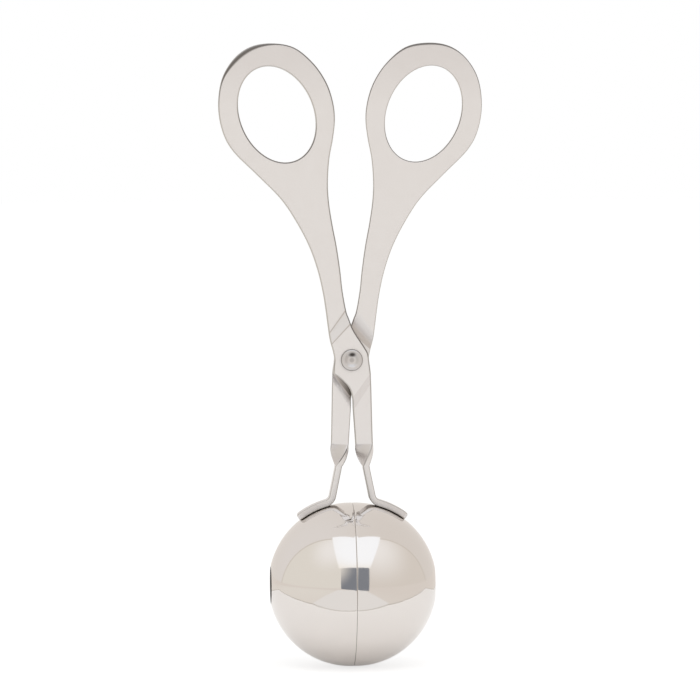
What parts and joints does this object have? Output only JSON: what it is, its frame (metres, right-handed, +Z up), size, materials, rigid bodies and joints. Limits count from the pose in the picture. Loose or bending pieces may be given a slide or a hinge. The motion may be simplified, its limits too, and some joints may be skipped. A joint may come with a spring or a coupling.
{
  "type": "meatball tongs",
  "caption": "Scissor-style meatball tongs: stamped steel arms with oval finger loops cross at a rivet, and their twisted shanks carry hollow cups that close into a ball.",
  "frame": {"origin": "lowest point of the closed ball, below the rivet's axis", "axes": "+Z up from the ball to the finger loops, +X to the right as seen from the front, and the front, where the arm with the left finger loop passes over the other at the rivet, faces -Y"},
  "size_m": [0.0804, 0.05, 0.1903],
  "materials": {
    "satin_steel": "fine satin on the faces, polished along the edges",
    "rivet_steel": "turned and lightly polished",
    "polished_steel": "mirror polish"
  },
  "bodies": {
    "front_side": {"front_arm": "satin_steel", "right_cup": "polished_steel", "pivot_rivet": "rivet_steel"},
    "rear_side": {"rear_arm": "satin_steel", "left_cup": "polished_steel"}
  },
  "joints": [
    {"name": "rivet_hinge", "type": "hinge", "parent": "front_side", "child": "rear_side", "pos_m": [0, 0, 0.0938], "axis": [0, 1, 0], "range_deg": [0, 75]}
  ]
}
